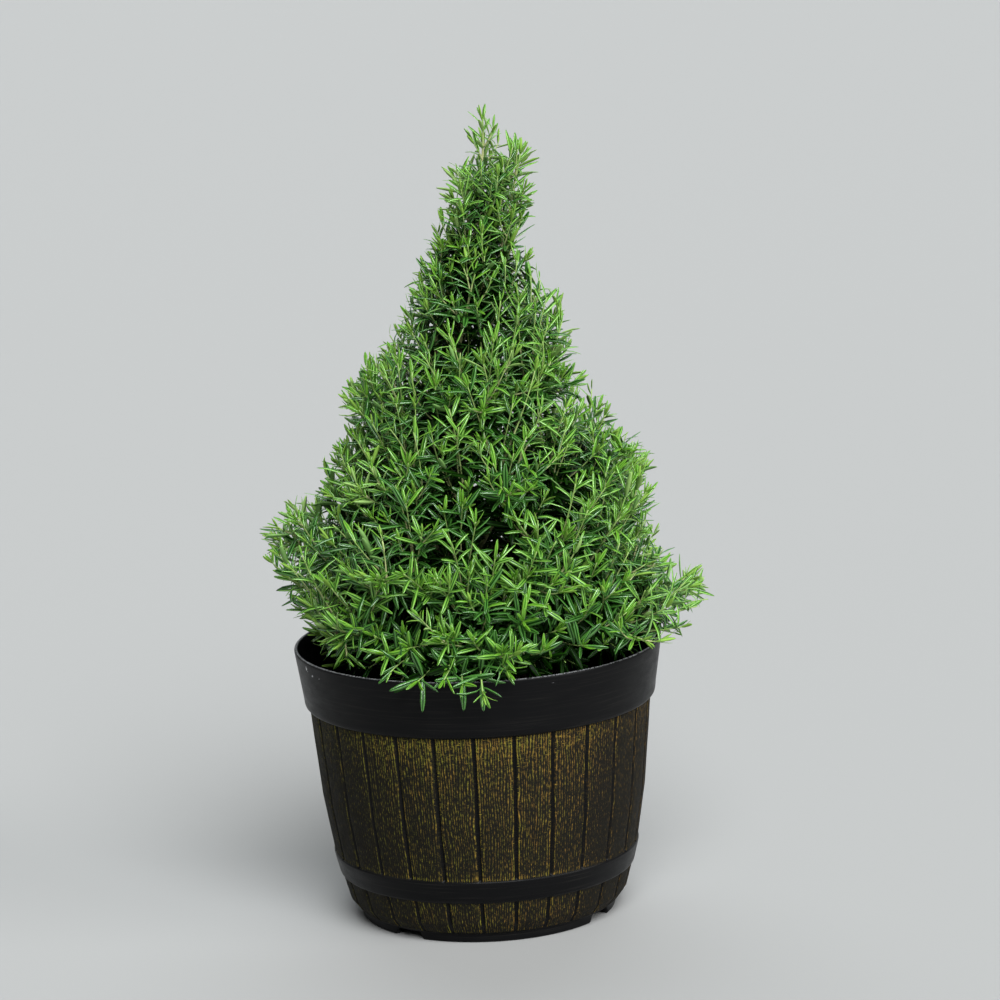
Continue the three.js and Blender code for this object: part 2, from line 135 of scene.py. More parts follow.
def closed_tubes(name, rings, starts=None, ends=None):
    """Mesh of closed tubes from points rings[tube, ring, side], whose sides run anticlockwise seen
    against the tube's direction. Neighbouring rings are joined by quads. The first and the last
    ring are closed by a fan of triangles to a start and an end point, their centres unless given."""
    tubes, count, sides = rings.shape[:3]
    starts = rings[:, 0].mean(axis=1) if starts is None else starts
    ends = rings[:, -1].mean(axis=1) if ends is None else ends
    points = np.concatenate([starts[:, None], rings.reshape(tubes, -1, 3), ends[:, None]], axis=1)
    size = points.shape[1]
    near = 1 + sides * np.arange(count)[:, None] + np.arange(sides)
    beside = np.roll(near, -1, axis=1)
    walls = np.stack([near[:-1], beside[:-1], beside[1:], near[1:]], axis=-1).reshape(-1, 4)
    first = np.stack([np.zeros(sides, int), beside[0], near[0]], axis=-1)
    last = np.stack([np.full(sides, size - 1), near[-1], beside[-1]], axis=-1)
    offset = size * np.arange(tubes)[:, None, None]
    return mesh_of(
        name,
        points.reshape(-1, 3),
        (walls + offset).reshape(-1, 4),
        (first + offset).reshape(-1, 3),
        (last + offset).reshape(-1, 3),
    )


def dress(mesh, slot, nodes, *materials):
    """Object of the mesh with its materials. It rides on the part's one body and stands for the
    named nodes. The slot is not used."""
    piece = add_object(mesh.name, mesh)
    for material in materials:
        mesh.materials.append(material)
    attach(piece, "root")
    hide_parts(*nodes)


def mark(mesh, name, values):
    """Stores values[tube, ring, side] on a mesh of closed tubes, for a material to read by this
    name. Each tube's start and end point take the number of the ring beside them."""
    flat = values.reshape(len(values), -1)
    padded = np.concatenate([flat[:, :1], flat, flat[:, -1:]], axis=1)
    attribute = mesh.attributes.new(name, "FLOAT", "POINT")
    attribute.data.foreach_set("value", padded.astype(np.float32).ravel())


def xyz(x, y, z):
    """Points or directions from their coordinates."""
    return np.stack(np.broadcast_arrays(x, y, z), axis=-1)


def smooth_noise(points, seed=0):
    """Smooth random height from -1 to 1 at each point: random numbers sit on the corners of a unit
    grid, and a point takes the mix of its cell's eight corners, weighted by an S-curve of its
    place between them."""
    cell = np.floor(points)
    inside = points - cell
    weight = inside * inside * (3 - 2 * inside)
    total = np.zeros(points.shape[:-1])
    for corner in np.ndindex(2, 2, 2):
        hashed = np.sin((cell + corner) @ np.array([12.9898, 78.233, 37.719]) + seed) * 43758.5453
        share = np.prod(np.where(np.array(corner) == 1, weight, 1 - weight), axis=-1)
        total += share * (hashed - np.floor(hashed))
    return 2 * total - 1


def step_up(low, high, values):
    """S-curve that climbs from 0 at the low value to 1 at the high one."""
    share = np.clip((values - low) / (high - low), 0, 1)
    return share * share * (3 - 2 * share)


def surface(name, **sockets):
    """Material whose shader has these values on its own sockets, such as Base_Color."""
    material = bpy.data.materials.new(name)
    material.use_nodes = True
    shader = material.node_tree.nodes["Principled BSDF"]
    for socket, value in sockets.items():
        shader.inputs[socket.replace("_", " ")].default_value = value
    return material


def add_node(tree, kind, inputs, **settings):
    """Node with its settings, each input either linked to a socket or given a value."""
    node = tree.nodes.new(kind)
    for setting, value in settings.items():
        setattr(node, setting, value)
    for key, value in inputs.items():
        if isinstance(value, bpy.types.NodeSocket):
            tree.links.new(value, node.inputs[key])
        else:
            node.inputs[key].default_value = value
    return node


def feed(material, socket, source):
    """Links a node's output to a socket of the shader."""
    shader = material.node_tree.nodes["Principled BSDF"]
    material.node_tree.links.new(source, shader.inputs[socket])


def object_noise(material, scale, detail=3, roughness=0.55):
    """Noise on the object's own coordinates, with this many grains to the metre along X, Y and Z."""
    tree = material.node_tree
    place = add_node(tree, "ShaderNodeTexCoord", {}).outputs["Object"]
    mapping = add_node(tree, "ShaderNodeMapping", {"Vector": place, "Scale": scale})
    inputs = {"Vector": mapping.outputs[0], "Scale": 1, "Detail": detail, "Roughness": roughness}
    return add_node(tree, "ShaderNodeTexNoise", inputs).outputs["Fac"]


def attribute_of(material, name):
    """Number that was stored on the mesh's points."""
    return add_node(material.node_tree, "ShaderNodeAttribute", {}, attribute_name=name).outputs["Fac"]


def math_of(operation, first, second=0.0):
    """Result of one operation on a socket and a number or another socket."""
    inputs = {0: first, 1: second}
    return add_node(first.id_data, "ShaderNodeMath", inputs, operation=operation).outputs[0]


def plus(first, second):
    """Sum of a socket and a number or another socket."""
    return math_of("ADD", first, second)


def times(first, second):
    """Product of a socket and a number or another socket."""
    return math_of("MULTIPLY", first, second)


def between(source, low, high):
    """Climbs from 0 where the source is at its low value to 1 at its high one, as an S-curve."""
    inputs = {"Value": source, "From Min": low, "From Max": high}
    node = add_node(source.id_data, "ShaderNodeMapRange", inputs, interpolation_type="SMOOTHSTEP")
    return node.outputs["Result"]


def blend(share, first, second):
    """Mix of two colours. The mixing node keeps its colours on inputs 6 and 7 and on output 2."""
    inputs = {0: share, 6: first, 7: second}
    return add_node(share.id_data, "ShaderNodeMix", inputs, data_type="RGBA").outputs[2]


def relief(material, height, depth, strength=1.0):
    """Bump of this depth in metres on the shader's normal."""
    inputs = {"Height": height, "Distance": depth, "Strength": strength}
    feed(material, "Normal", add_node(material.node_tree, "ShaderNodeBump", inputs).outputs[0])


def planter_profile():
    """Radius and height of the moulding's outline, from the middle of the underside, up outside,
    over the lip and down inside to the middle of the floor, and where it is a panel of staves."""
    low = np.linspace(PANEL_FOOT, HOOP_BOTTOM - 1, 18)
    hoop = HOOP_BOTTOM + np.array([0, 0.5, 1.5, 6, 13, 17.5, 18.5, 19])
    high = np.linspace(HOOP_TOP + 1, COLLAR_FOOT - 0.6, 92)
    barrel = np.concatenate([low, hoop, high])
    relief = np.concatenate([0 * low, [0.5, 1, 1.2, 1.25, 1.25, 1.2, 1, 0.5], 0 * high])
    shoulder = np.array([[0, 0.4], [1.4, 0.5], [2.6, 1], [3.6, 2.2], [4.1, 4], [4.5, 7]])
    lip_angle = np.radians([0, 30, 60, 90, 120, 150, 180])
    lip = np.stack([np.cos(lip_angle), np.sin(lip_angle)], axis=1) * WALL / 2
    inner = [[RIM_RADIUS - 4.4, 226], [146, 205], [141.4, 184], [134, 106], [107.5, 11], [104, FLOOR_TOP]]
    outline = np.concatenate([
        [[4, 0], [30, 0], [44, 0], [47, 0], [60, 0], [75, 0], [90, 0], [104, 0], [106.6, 0.1]],
        [[107.4, 0.5], [107.9, 1.4], [108, 4], [108.2, 7], [109, 8.2], [110.6, 8.8]],
        np.stack([np.interp(barrel, PANEL_HEIGHTS, PANEL_RADII) + relief, barrel], axis=1),
        [PANEL_RADII[-1], COLLAR_FOOT] + shoulder,
        np.stack([np.linspace(149.2, RIM_RADIUS - 0.1, 22), np.linspace(194, 231, 22)], axis=1),
        [RIM_RADIUS - WALL / 2, PLANTER_HEIGHT - WALL / 2] + lip,
        inner,
        [[60, FLOOR_TOP], [5, FLOOR_TOP]],
    ])
    on_panel = np.isin(outline[:, 1], np.concatenate([low, high]))
    return outline[:, 0], outline[:, 1], on_panel


def mark_wear_and_painted_light(mesh, radius, azimuth, height, from_groove, on_panel):
    """Stores what the finish reads. The rub, or how much gold a place kept, adds up a stave's edge,
    nearness to the collar and to the hoop, and smooth noise, and falls off towards both sides; that
    fall is painted shade on the sides, which turn away from the front.
    Edge, hoop and knocks fade by an exponential of the distance, the knocks by its square."""
    edge = np.exp(-np.clip(from_groove - 1.3 * GROOVE_HALF, 0, None) / 1.1)
    top = 0.6 * step_up(COLLAR_FOOT - 90, COLLAR_FOOT, height)
    top += 0.4 * step_up(COLLAR_FOOT - 26, COLLAR_FOOT - 8, height)
    beside_hoop = np.exp(-np.abs(height - HOOP_TOP - 2) / 1.4)
    patches = smooth_noise(xyz(azimuth * STAVE_RADIUS / 19, height / 55, 0), 5)
    # Painted shade: the gold is taken off towards the left and right sides, which turn away from the
    # front
    left = step_up(0.2, 1, -np.sin(azimuth))
    right = step_up(0.3, 0.9, np.sin(azimuth))
    rub_and_side_shade = 0.16 + 0.5 * edge + 0.34 * top + 0.35 * beside_hoop + 0.06 * patches
    rub_and_side_shade = rub_and_side_shade - 0.26 * left - 0.3 * right
    painted = on_panel * step_up(0.8 * GROOVE_HALF, 1.3 * GROOVE_HALF, from_groove)
    stave = np.floor((azimuth - STAVE_TURN) / STAVE_PITCH + 1e-6)
    knocked = sum(
        force * np.exp(
            -(2 * radius * np.sin((azimuth - turn) / 2) / wide) ** 2 - ((height - level) / tall) ** 2
        )
        for turn, level, wide, tall, force in KNOCKS
    )
    outside = radius > RIM_RADIUS - 3
    stored = {
        "rub_and_side_shade": rub_and_side_shade * painted,
        "panel": painted,
        "warm": 0.5 + 0.5 * np.sin(azimuth - 0.1),
        "across": (azimuth - STAVE_TURN - STAVE_PITCH * stave) * STAVE_RADIUS * MM,
        "stave": stave,
        "knocked": knocked * outside,
        # The lip's top, where grey goes on as wear and as a painted highlight
        "lip": step_up(PLANTER_HEIGHT - 0.8, PLANTER_HEIGHT, height) * outside,
    }
    for name, values in stored.items():
        mark(mesh, name, values[None])


def planter_mesh():
    """The outline carried round the axis. A stave's columns crowd towards its grooves, where the
    radius is drawn in by an S-curve of the distance to the groove, and smooth noise stretched up
    the stave raises the grain. The underside and foot rise over the four drainage arches."""
    radius, height, on_panel = planter_profile()
    part = np.arange(STAVE_COLUMNS) / STAVE_COLUMNS
    part = part - 0.6 * np.sin(2 * np.pi * part) / (2 * np.pi)
    azimuth = (STAVE_TURN + STAVE_PITCH * (np.arange(STAVES)[:, None] + part)).ravel()
    radius, azimuth = np.meshgrid(radius, azimuth, indexing="ij")
    height = np.broadcast_to(height[:, None], radius.shape)
    on_panel = np.broadcast_to(on_panel[:, None], radius.shape)

    from_groove = (azimuth - STAVE_TURN) / STAVE_PITCH
    from_groove = np.abs(from_groove - np.round(from_groove)) * STAVE_PITCH * radius
    in_groove = 1 - step_up(0.35 * GROOVE_HALF, 1.2 * GROOVE_HALF, from_groove)
    grain = smooth_noise(xyz(azimuth * STAVE_RADIUS / 2.2, height / 26, 0))
    crown = 0.5 * step_up(0, 7, from_groove) - 0.5
    raised = crown + GRAIN_DEPTH * grain * (1 - in_groove) - GROOVE_DEPTH * in_groove
    radius = radius + on_panel * raised

    rise = np.zeros_like(radius)
    foot = height < FOOT_HEIGHT
    for arch in ARCHES:
        beside = np.abs(radius * np.sin(azimuth - arch))
        ahead = (np.cos(azimuth - arch) > 0) & foot
        wide = np.clip((ARCH_HALF - beside) / 3, 0, 1)
        rise = np.maximum(rise, ahead * wide * step_up(ARCH_START - 3, ARCH_START, radius))
    height = np.where(foot, height + rise * (ARCH_HEIGHT - height * ARCH_HEIGHT / FOOT_HEIGHT), height)

    points = xyz(radius * np.sin(azimuth), -radius * np.cos(azimuth), height)
    mesh = closed_tubes("planter_moulding", points[None])
    mark_wear_and_painted_light(mesh, radius, azimuth, height, from_groove, on_panel)
    return mesh


def grain_noise(material, across_scale, up_scale, detail=2):
    """Noise on the stave's own surface, with this many grains to the metre across and up the stave.
    Its third coordinate steps on from stave to stave, so no two look alike."""
    tree = material.node_tree
    place = add_node(tree, "ShaderNodeTexCoord", {}).outputs["Object"]
    vector = add_node(tree, "ShaderNodeCombineXYZ", {
        "X": times(attribute_of(material, "across"), across_scale),
        "Y": times(add_node(tree, "ShaderNodeSeparateXYZ", {0: place}).outputs["Z"], up_scale),
        "Z": times(attribute_of(material, "stave"), NEXT_STAVE),
    }).outputs[0]
    inputs = {"Vector": vector, "Scale": 1, "Detail": detail, "Roughness": 0.6}
    return add_node(tree, "ShaderNodeTexNoise", inputs).outputs["Fac"]


def planter_finish():
    """Black satin plastic, with fine scratches round the collar, grey nicks where it was knocked and
    a lip speckled grey, partly as wear and partly as a painted highlight along its edge. The
    staves' grain is a sine across the stave that wavers with noise. Gold shows where the grain and
    a finer noise, or a noise of short cracks, add up to more than the stored rub lets through, which
    carries painted shade towards the sides. It is yellower on the left and redder on the right, over
    a brownish wash."""
    material = surface("planter_plastic", IOR=1.47, Specular_IOR_Level=0.1)
    panel = attribute_of(material, "panel")
    phase = times(attribute_of(material, "across"), 2 * math.pi / GRAIN_PITCH)
    ridge = math_of("SINE", plus(phase, times(grain_noise(material, 70, 17), 26)))
    pattern = plus(times(ridge, 0.13), grain_noise(material, 800, 300, detail=4))
    # The stored rub carries painted shade towards the sides
    worn_and_side_shade = times(attribute_of(material, "rub_and_side_shade"), 0.3)
    streaks = between(plus(pattern, worn_and_side_shade), 0.58, 1.14)
    cracks = between(plus(grain_noise(material, 220, 1100), worn_and_side_shade), 0.7, 1.0)
    gold = times(math_of("MAXIMUM", streaks, cracks), panel)
    mottle = between(grain_noise(material, 420, 70), 0.3, 0.7)
    tone = plus(attribute_of(material, "warm"), plus(mottle, -0.5))
    paint = blend(tone, YELLOW_GOLD, ORANGE_GOLD)
    scratches = between(object_noise(material, (16, 16, 1300)), 0.52, 0.78)
    plain = blend(scratches, BLACK, SCRATCHED_BLACK)
    colour = blend(gold, blend(panel, plain, WASHED_BLACK), paint)
    specks = object_noise(material, (900, 900, 900))
    nicks = between(plus(attribute_of(material, "knocked"), specks), 0.95, 1.15)
    # The lip's speckled grey: partly wear, partly a painted highlight along its edge
    chafed_and_lit = times(between(specks, 0.38, 0.6), attribute_of(material, "lip"))
    scuff_and_lit_lip = math_of("MAXIMUM", nicks, times(chafed_and_lit, LIP_WEAR_AND_HIGHLIGHT))
    feed(material, "Base Color", blend(scuff_and_lit_lip, colour, SCUFF_AND_HIGHLIGHT_GREY))
    haze = times(object_noise(material, (60, 60, 140), detail=4), 0.3)
    feed(material, "Roughness", plus(haze, plus(times(panel, 0.3), 0.24)))
    fine = times(object_noise(material, (2600, 2600, 2600)), 0.08)
    relief(material, plus(times(pattern, panel), fine), 0.0007, 0.8)
    return material


dress(planter_mesh(), "planter", ["planter"], planter_finish())


# Nursery pot: the thin black pot that the plant was grown in, blown from plastic, with a turned-out
# lip. It stands on the planter's floor a little left of the middle, so only its lip shows.
nursery_low, nursery_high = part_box("nursery_pot")
NURSERY_X = (nursery_low.x + nursery_high.x) / 2 / MM
NURSERY_RIM = (nursery_high.x - nursery_low.x) / 2 / MM
NURSERY_TOP = nursery_high.z / MM
NURSERY_FOOT = nursery_low.z / MM
NURSERY_SIDES = 120
NURSERY_BLACK = (0.011, 0.011, 0.012, 1)


def turned(name, outline, sides, centre_x):
    """The outline's radii and heights carried round an upright axis."""
    radius, height = outline.T[..., None]
    turn = 2 * np.pi * np.arange(sides) / sides
    rings = xyz(centre_x + radius * np.sin(turn), -radius * np.cos(turn), height)
    return closed_tubes(name, rings[None])


def nursery_finish():
    """Thin black plastic with a dull, uneven sheen."""
    material = surface("nursery_plastic", Base_Color=NURSERY_BLACK, IOR=1.5)
    haze = object_noise(material, (90, 90, 90), detail=4)
    feed(material, "Roughness", plus(times(haze, 0.35), 0.3))
    relief(material, object_noise(material, (700, 700, 260)), 0.0003, 0.6)
    return material


nursery_outline = np.concatenate([
    [0, NURSERY_FOOT] + np.array([[6, 0], [70, 0], [73.4, 0.4], [74.2, 3]]),
    [0, NURSERY_TOP] + np.array([[88.6, -14], [89.2, -12.4], [91.2, -11.8]]),
    [NURSERY_RIM, NURSERY_TOP] + np.array([[-0.2, -11], [-0.1, -2], [0, -0.7]]),
    [NURSERY_RIM, NURSERY_TOP] + np.array([[-0.5, 0], [-1.3, -0.1], [-1.7, -0.9]]),
    [0, NURSERY_TOP] + np.array([[90, -10], [87.4, -13]]),
    [0, NURSERY_FOOT] + np.array([[72.6, 3], [70, 1.6], [6, 1.6]]),
])
nursery_mesh = turned("nursery_shell", nursery_outline, NURSERY_SIDES, NURSERY_X)
dress(nursery_mesh, "nursery_pot", ["nursery_pot"], nursery_finish())


# Compost: dark crumbly peat and bark fines, watered down a little below the lip and dished towards
# the wall. Chips of bark and bits of dead twig lie loose on it.
compost_low, compost_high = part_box("compost")
COMPOST_RADIUS = (compost_high.x - compost_low.x) / 2 / MM
COMPOST_TOP = compost_high.z / MM
COMPOST_FOOT = compost_low.z / MM
COMPOST_SIDES = 160
COMPOST_RINGS = 46
CHIPS = 420
PEAT = (0.016, 0.0105, 0.007, 1)
PEAT_LIGHT = (0.075, 0.045, 0.028, 1)
CHIP_DARK = (0.05, 0.028, 0.018, 1)
CHIP_LIGHT = (0.24, 0.145, 0.1, 1)


def compost_level(x, y):
    """Height of the compost: dished by the square of the distance to its middle, with coarse and
    fine lumps of smooth noise that die out round the trunk."""
    away = np.hypot(x - NURSERY_X, y)
    place = xyz(x, y, 0)
    lumps = 1.5 * smooth_noise(place / 9) + 0.9 * smooth_noise(place / 3.5, 3)
    return COMPOST_TOP - 1.2 - 2.6 * (away / COMPOST_RADIUS) ** 2 + lumps * step_up(8, 20, away)


def compost_mesh():
    """Side wall as a turned outline, and above it a disc whose rings follow the compost's level."""
    turn = 2 * np.pi * np.arange(COMPOST_SIDES) / COMPOST_SIDES
    radius = np.concatenate([[6, 71, 72], np.linspace(COMPOST_RADIUS - 0.4, 3, COMPOST_RINGS)])
    x = NURSERY_X + radius[:, None] * np.sin(turn)
    y = -radius[:, None] * np.cos(turn)
    height = compost_level(x, y)
    height[:2] = COMPOST_FOOT
    height[2] = COMPOST_FOOT + 1
    return closed_tubes("compost_fill", xyz(x, y, height)[None])


def chip_mesh(random):
    """Each chip is a flat five-sided shard of three rings, narrow at both ends, whose corners are
    pushed about at random, laid on the compost at a random turn and a slight tilt."""
    away = (COMPOST_RADIUS - 6) * np.sqrt(random.uniform(0.02, 1, CHIPS))
    turn = random.uniform(0, 2 * np.pi, CHIPS)
    centre_x, centre_y = NURSERY_X + away * np.sin(turn), -away * np.cos(turn)
    centre = xyz(centre_x, centre_y, compost_level(centre_x, centre_y) + 0.7)
    length = random.uniform(2.5, 9, CHIPS) * random.uniform(0.6, 1, CHIPS)
    along = np.array([-0.5, 0, 0.5])
    girth = np.array([0.12, 0.26, 0.1])
    side = 2 * np.pi * np.arange(5) / 5
    local = xyz(along[:, None], girth[:, None] * np.cos(side), 0.55 * girth[:, None] * np.sin(side))
    local = local + random.uniform(-0.06, 0.06, (CHIPS, 3, 5, 3))
    local = local * length[:, None, None, None]
    yaw = random.uniform(0, 2 * np.pi, CHIPS)[:, None, None]
    tilt = random.uniform(-0.35, 0.35, CHIPS)[:, None, None]
    x, y, z = np.moveaxis(local, -1, 0)
    x, z = x * np.cos(tilt) - z * np.sin(tilt), x * np.sin(tilt) + z * np.cos(tilt)
    x, y = x * np.cos(yaw) - y * np.sin(yaw), x * np.sin(yaw) + y * np.cos(yaw)
    return closed_tubes("bark_chips", centre[:, None, None] + xyz(x, y, z))


def crumbly(name, dark, light, grain, depth):
    """Rough matt stuff, mottled from dark to light by noise of this many grains to the metre."""
    material = surface(name, Roughness=0.95, Specular_IOR_Level=0.2)
    mottle = object_noise(material, (grain, grain, grain), detail=5, roughness=0.7)
    feed(material, "Base Color", blend(between(mottle, 0.4, 0.68), dark, light))
    relief(material, object_noise(material, (grain * 2,) * 3, detail=5), depth)
    return material


dress(compost_mesh(), "compost", ["compost"], crumbly("peat", PEAT, PEAT_LIGHT, 420, 0.002))
dress(chip_mesh(np.random.default_rng(7)), "compost", ["compost"],
      crumbly("bark_chip", CHIP_DARK, CHIP_LIGHT, 160, 0.001))


# Trunk: one woody stem, trained upright, that flares where it leaves the compost, leans left and
# then right, and runs up inside the foliage. Its grey-brown bark is cracked into long ridges.
UP = np.array([0.0, 0.0, 1.0])
TRUNK_CURVE = np.array([
    [NURSERY_X, 0, COMPOST_TOP - 1.5], [NURSERY_X, 0, 360], [-17, -3, 530], [18, 0, 612],
])
TRUNK_RADIUS = 6.2
TRUNK_TIP_RADIUS = 1.8
FLARE = 4
FLARE_HEIGHT = 9
TRUNK_LENGTH = 420
TRUNK_RINGS = 190
TRUNK_SIDES = 30
BARK_DEPTH = 0.1
BARK_DARK = (0.045, 0.03, 0.02, 1)
BARK_LIGHT = (0.23, 0.175, 0.12, 1)


def unit(vectors):
    """The vectors at length 1."""
    return vectors / np.linalg.norm(vectors, axis=-1, keepdims=True)


def dot(first, second):
    """Scalar product of each two vectors, kept as a last axis of one."""
    return np.sum(first * second, axis=-1, keepdims=True)


def bezier(curves, share):
    """Points at shares[curve, point] of the way along Bezier curves given by their control points
    curves[curve, control]; one row of shares may serve all curves. Every two neighbouring control
    points are replaced by their mix, until one is left."""
    points = np.moveaxis(curves, 1, 0)[:, :, None]
    share = share[..., None]
    while len(points) > 1:
        points = points[:-1] * (1 - share) + points[1:] * share
    return points[0]


def bezier_heading(curves, share):
    """Direction of the curves at these shares, from the curve of their control points' steps."""
    return unit(bezier(np.diff(curves, axis=1), share))


def across_frames(curves, heading):
    """Two directions square to each heading: a sideways one that turns with the curve as little as
    it can, and one square to both."""
    chord = unit(curves[:, -1] - curves[:, 0])
    upright = np.abs(chord[:, 2:]) > 0.9
    side = unit(np.cross(chord, np.where(upright, [1.0, 0.0, 0.0], UP)))[:, None]
    side = unit(side - heading * dot(side, heading))
    return side, np.cross(heading, side)


def frames_at(curves, share):
    """Each curve's point, heading and two directions square to it, at the curve's own share."""
    share = share[:, None]
    heading = bezier_heading(curves, share)
    found = (bezier(curves, share), heading, *across_frames(curves, heading))
    return [values[:, 0] for values in found]


def limb_rings(curves, share, radius, sides):
    """Rings set square across the curves at these shares. The radius is given by curve, point and
    side, or by fewer of these where it is the same for all."""
    centre = bezier(curves, share)[:, :, None]
    side, over = across_frames(curves, bezier_heading(curves, share))
    turn = 2 * np.pi * np.arange(sides)[:, None] / sides
    spoke = side[:, :, None] * np.cos(turn) + over[:, :, None] * np.sin(turn)
    return centre + radius[..., None] * spoke


def ridged(radius, length, share, sides, depth, seed):
    """The radius with bark on it: ridges of smooth noise that run along the limb and wind round it
    a little, as deep as this share of the radius."""
    turn = 2 * np.pi * np.arange(sides) / sides + 0.6 * share[..., None]
    run = (share * length)[..., None]
    ridges = smooth_noise(xyz(2.3 * np.cos(turn), 2.3 * np.sin(turn), run / 26), seed)
    fine = smooth_noise(xyz(5 * np.cos(turn), 5 * np.sin(turn), run / 11), seed + 1)
    rough = 1 - np.abs(ridges) * 1.6 + 0.5 * fine
    return radius[..., None] * (1 + depth * rough)


def bark_finish():
    """Grey-brown bark. Noise stretched along the stem darkens its cracks and bleaches its ridges."""
    material = surface("bark", Roughness=0.9, Specular_IOR_Level=0.25)
    cracks = object_noise(material, (420, 420, 60), detail=5, roughness=0.65)
    feed(material, "Base Color", blend(between(cracks, 0.38, 0.66), BARK_DARK, BARK_LIGHT))
    relief(material, cracks, 0.0016)
    return material


bark = bark_finish()
trunk_curve = TRUNK_CURVE[None]
trunk_share = np.linspace(0, 1, TRUNK_RINGS)[None] ** 1.25
trunk_radius = TRUNK_RADIUS + (TRUNK_TIP_RADIUS - TRUNK_RADIUS) * trunk_share
trunk_radius += FLARE * np.exp(-trunk_share * TRUNK_LENGTH / FLARE_HEIGHT)
trunk_radius = ridged(trunk_radius, TRUNK_LENGTH, trunk_share, TRUNK_SIDES, BARK_DEPTH, 11)
trunk_rings = limb_rings(trunk_curve, trunk_share, trunk_radius, TRUNK_SIDES)
dress(closed_tubes("trunk_wood", trunk_rings), "bark", ["trunk"], bark)


# Boughs: the branches that the trunk sends out in five tiers, each up and outwards to where its own
# mass of foliage begins. Inside the mass the bough goes on as the stem that carries the shoots.
BOUGH_LENGTH = 60
BOUGH_RINGS = 26
BOUGH_SIDES = 12
BOUGH_RADIUS = 3.4
BOUGH_TIP_RADIUS = 2.4
STEM_TIP_RADIUS = 0.7
LEADER_TIP = np.array([23.0, 0.0, 684.0])
LEADER_SHOOT = 34
# A tier's first turn, its boughs' roots as shares of the trunk, the distance from the axis and the
# height at which its stems start and end, and how long their shoots are. Strays reach further out.
TIERS = [
    dict(name="skirt", count=7, turn=0, root=(0.015, 0.07), start=(44, 227), tip=(172, 250),
         lift=30, shoot=52, strays={0: (182, 219, 78), 2: (211, 267, 16), 5: (179, 268, 20)}),
    dict(name="lower", count=6, turn=30, root=(0.08, 0.14), start=(42, 266), tip=(172, 322),
         lift=14, shoot=54, strays={1: (191, 303, 22), 4: (188, 332, 18)}),
    dict(name="middle", count=6, turn=20, root=(0.18, 0.25), start=(36, 322), tip=(140, 402),
         lift=8, shoot=52, strays={1: (162, 412, 10)}),
    dict(name="upper", count=4, turn=10, root=(0.32, 0.39), start=(26, 396), tip=(106, 482),
         lift=4, shoot=48, strays={3: (116, 458, 10)}),
    dict(name="spire", count=4, turn=0, root=(0.42, 0.54), start=(18, 482), tip=(52, 575),
         lift=2, shoot=40, strays={1: (30, 644, -6), 3: (38, 634, -8)}),
]


def outward(azimuth):
    """Level directions at angles from the front, growing towards the right."""
    return xyz(np.sin(azimuth), -np.cos(azimuth), 0)


def crown_axis(height):
    """Middle of the crown at a height: the crown leans to the right above 400 mm."""
    return xyz(4 + 0.08 * np.maximum(height - 400, 0), 0, height)


def from_axis(points):
    """Level distance of each point from the middle of the crown."""
    beside = points - crown_axis(points[..., 2])
    return np.hypot(beside[..., 0], beside[..., 1])


def grow_stems():
    """Names and Bezier curves of the stems and of the boughs that carry them, by the tiers' sizes,
    with the boughs' roots on the trunk and the length of the stems' shoots. The leader is last: it
    is a stem that goes straight on from the trunk."""
    names, stems, boughs, roots, shoots = [], [], [], [], []
    trunk_points = bezier(trunk_curve, np.linspace(0, 1, 61)[None])[0]
    for tier in TIERS:
        for i in range(tier["count"]):
            away = outward(math.radians(tier["turn"] + i * 360 / tier["count"]))
            radius, height, lift = tier["strays"].get(i, (*tier["tip"], tier["lift"]))
            nearest = trunk_points[np.argmin(np.abs(trunk_points[:, 2] - tier["start"][1]))]
            start = nearest + away * tier["start"][0]
            tip = crown_axis(height) + away * radius
            bend = start + 0.55 * (tip - start) + lift * UP
            low, high = tier["root"]
            root = low + (high - low) * (i * 3 % tier["count"]) / tier["count"]
            origin = bezier(trunk_curve, np.array([[root]]))[0, 0]
            heading = unit(bend - start)
            leaving = (origin + start) / 2
            leaving[2] = origin[2] + 0.3 * (start[2] - origin[2])
            arriving = start - heading * 0.25 * np.linalg.norm(start - origin)
            names.append(f"{tier['name']}_{i + 1}")
            stems.append([start, bend, tip])
            boughs.append([origin, leaving, arriving, start + heading])
            roots.append(root)
            shoots.append(tier["shoot"])
    top = trunk_points[-1]
    stems.append([top, (top + LEADER_TIP) / 2 + [4, 0, 0], LEADER_TIP])
    names.append("leader")
    shoots.append(LEADER_SHOOT)
    return names, np.array(stems), np.array(boughs), np.array(roots), np.array(shoots)


names, stems, boughs, roots, shoot_lengths = grow_stems()
bough_share = np.linspace(0, 1, BOUGH_RINGS)[None]
thick = BOUGH_RADIUS + (BOUGH_TIP_RADIUS - BOUGH_RADIUS) * roots[:, None]
bough_radius = thick + (BOUGH_TIP_RADIUS - thick) * bough_share
bough_radius = ridged(bough_radius, BOUGH_LENGTH, bough_share, BOUGH_SIDES, BARK_DEPTH, 23)
bough_rings = limb_rings(boughs, bough_share, bough_radius, BOUGH_SIDES)
dress(closed_tubes("bough_wood", bough_rings), "bark",
      [f"bough_{name}" for name in names if name != "leader"], bark)


# Shoots: this year's and last year's growth. They leave the stems a golden angle apart, turn up
# towards the light and branch once more. The older ones are woody and tan, the younger pale green.
GOLDEN_ANGLE = math.radians(137.5)
FILLERS = 600
FILLER_LENGTH = 84
FILLER_SHORTEST = 22
FILLER_LONGEST = 130
# Tables by height: how far apart the filling shoots' tips stand, and how steeply they arrive
FILLER_APART = [(240, 330, 450), (20, 17, 15)]
FILLER_RISE = [(220, 240, 270, 340, 450), (-0.9, -0.2, 0.5, 1.5, 2.8)]
# Angle, radius and height of the tips that hang over the front of the rim
DROOPS = np.array([
    [-24, 172, 246], [-16, 175, 240], [-9, 176, 241], [-4, 176, 237], [2, 180, 226], [8, 170, 246],
])
